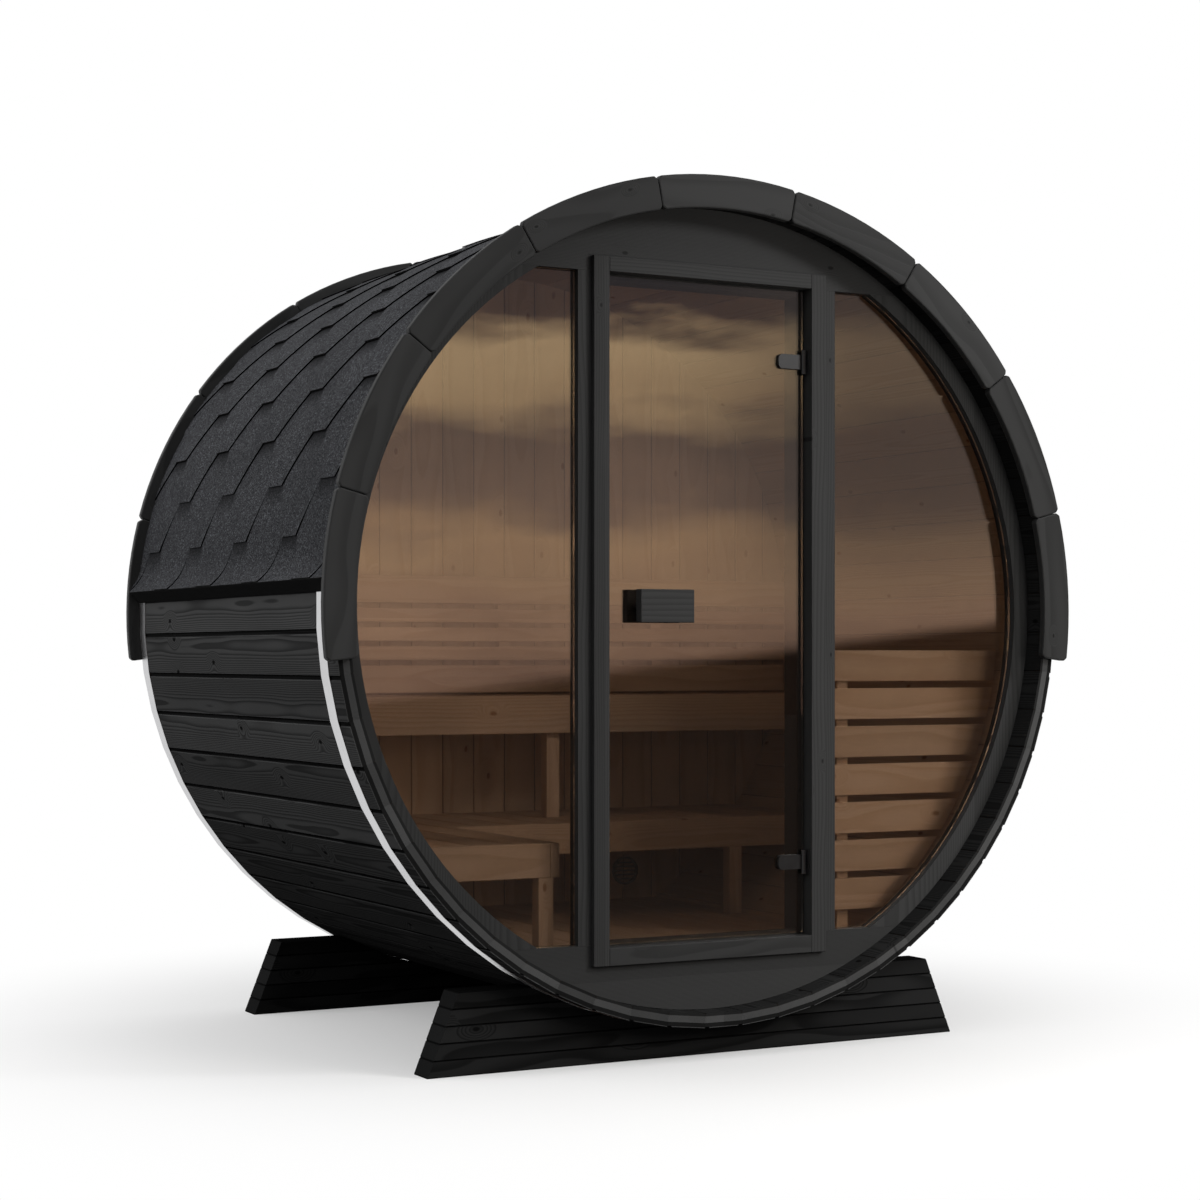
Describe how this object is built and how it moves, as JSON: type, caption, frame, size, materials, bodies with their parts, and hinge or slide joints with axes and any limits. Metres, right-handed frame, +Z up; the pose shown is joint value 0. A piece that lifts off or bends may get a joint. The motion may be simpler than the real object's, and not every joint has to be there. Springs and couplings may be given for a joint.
{
  "type": "barrel sauna",
  "caption": "Outdoor barrel sauna with a glazed front wall, a swinging glass door, benches inside, a shingled roof and two wooden cradles",
  "frame": {"origin": "on the ground under the middle of the barrel", "axes": "+Z up, the door and glazed wall face -Y, +X to the right as seen from the front, the barrel lies along Y"},
  "size_m": [2.0888, 1.442, 2.1338],
  "materials": {
    "black_wood": "black stained spruce",
    "light_wood": "planed bare spruce",
    "bitumen_shingle": "bitumen with mineral granules",
    "stainless_steel": "stainless band",
    "bronze_glass": "bronze tinted tempered glass",
    "black_metal": "matt black"
  },
  "bodies": {
    "sauna": {"rear_wall": "light_wood", "floor": "light_wood", "floor_bearers": "light_wood", "lower_bench_top": "light_wood", "lower_bench_aprons": "light_wood", "lower_bench_legs": "light_wood", "upper_bench_top": "light_wood", "upper_bench_apron": "light_wood", "upper_bench_post": "light_wood", "backrest": "light_wood", "slatted_screen": "light_wood", "fascia_front": "black_wood", "fascia_rear": "black_wood", "eave_board_left": "black_wood", "eave_board_right": "black_wood", "front_panel_top": "black_wood", "front_panel_bottom": "black_wood", "front_ring_left": "black_wood", "front_ring_right": "black_wood", "mullion_left": "black_wood", "mullion_right": "black_wood", "door_frame_left": "black_wood", "door_frame_right": "black_wood", "door_frame_top": "black_wood", "door_frame_bottom": "black_wood", "cradle_front": "black_wood", "cradle_rear": "black_wood", "staves_01": "black_wood", "staves_02": "black_wood", "staves_03": "black_wood", "staves_04": "black_wood", "staves_05": "black_wood", "staves_06": "black_wood", "staves_07": "black_wood", "staves_08": "black_wood", "staves_09": "black_wood", "staves_10": "black_wood", "shingles_left": "bitumen_shingle", "shingles_right": "bitumen_shingle", "band_front": "stainless_steel", "band_rear": "stainless_steel", "window_glass_left": "bronze_glass", "window_glass_right": "bronze_glass", "hinge_jamb_plates": "black_metal", "vent_grilles": "black_metal"},
    "door": {"door_glass": "bronze_glass", "hinge_clamp_upper": "black_metal", "hinge_clamp_lower": "black_metal", "handle_outside": "black_wood", "handle_inside": "black_wood"}
  },
  "joints": [
    {"name": "door_hinge", "type": "hinge", "parent": "sauna", "child": "door", "pos_m": [0.2767, -0.6278, 0.28], "axis": [0, 0, 1], "range_deg": [0, 100]}
  ]
}
